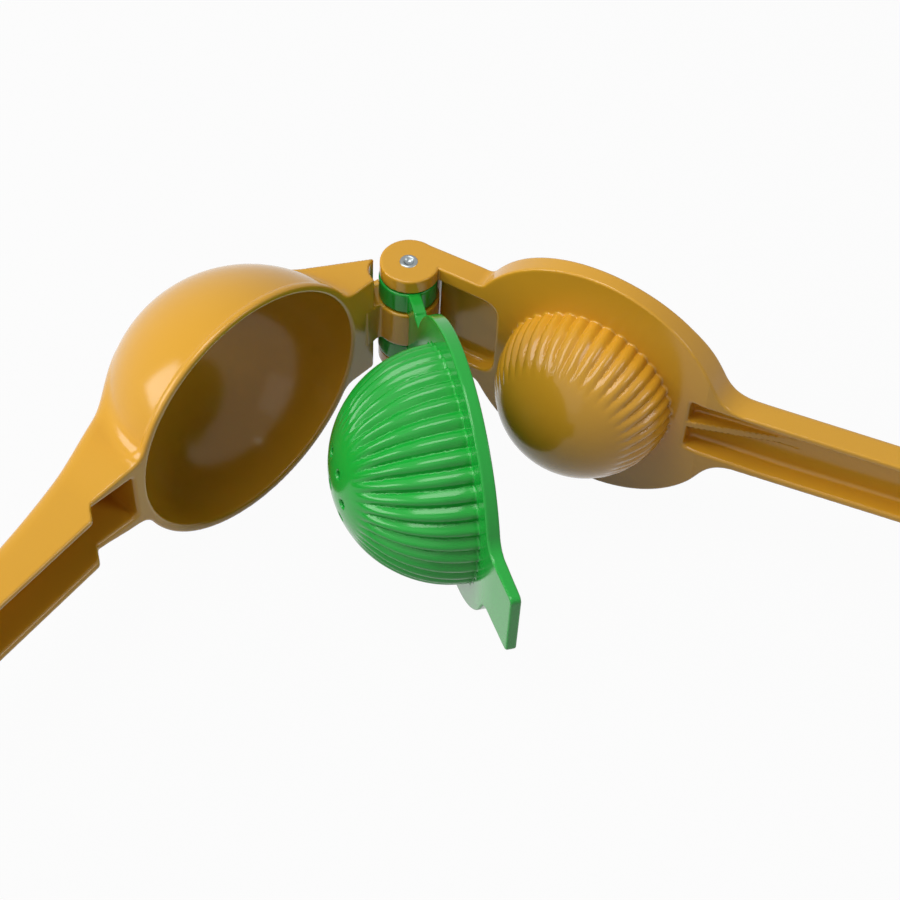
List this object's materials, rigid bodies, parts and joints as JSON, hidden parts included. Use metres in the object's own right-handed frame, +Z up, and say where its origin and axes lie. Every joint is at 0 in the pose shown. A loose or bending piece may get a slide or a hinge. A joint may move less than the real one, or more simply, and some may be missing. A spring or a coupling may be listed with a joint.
{
  "type": "hinged lemon squeezer",
  "caption": "Hinged hand squeezer for lemons: a bowl, a fluted strainer insert and a fluted press dome swing on one riveted hinge, with two channel-shaped handles.",
  "frame": {"origin": "middle of the footprint, on the surface that the opened squeezer lies on", "axes": "+X from the end of the bowl's handle towards the end of the press's handle, +Y from the handles' ends towards the hinge, +Z up along the hinge axis"},
  "size_m": [0.339, 0.1738, 0.0704],
  "materials": {
    "yellow_enamel": "glossy enamel over cast aluminium",
    "green_enamel": "glossy enamel over cast aluminium",
    "rivet_steel": "bright, with a turned head"
  },
  "bodies": {
    "bowl": {"bowl_arm": "yellow_enamel"},
    "insert": {"lime_insert": "green_enamel"},
    "press": {"press_arm": "yellow_enamel", "hinge_rivet": "rivet_steel"}
  },
  "joints": [
    {"name": "insert_swing", "type": "hinge", "parent": "bowl", "child": "insert", "pos_m": [-0.0296, 0.07902, 0.0352], "axis": [0, 0, 1], "range_deg": [-57.7, 32.3]},
    {"name": "press_swing", "type": "hinge", "parent": "insert", "child": "press", "pos_m": [-0.0296, 0.07902, 0.0352], "axis": [0, 0, 1], "range_deg": [-46.2, 43.8]}
  ]
}
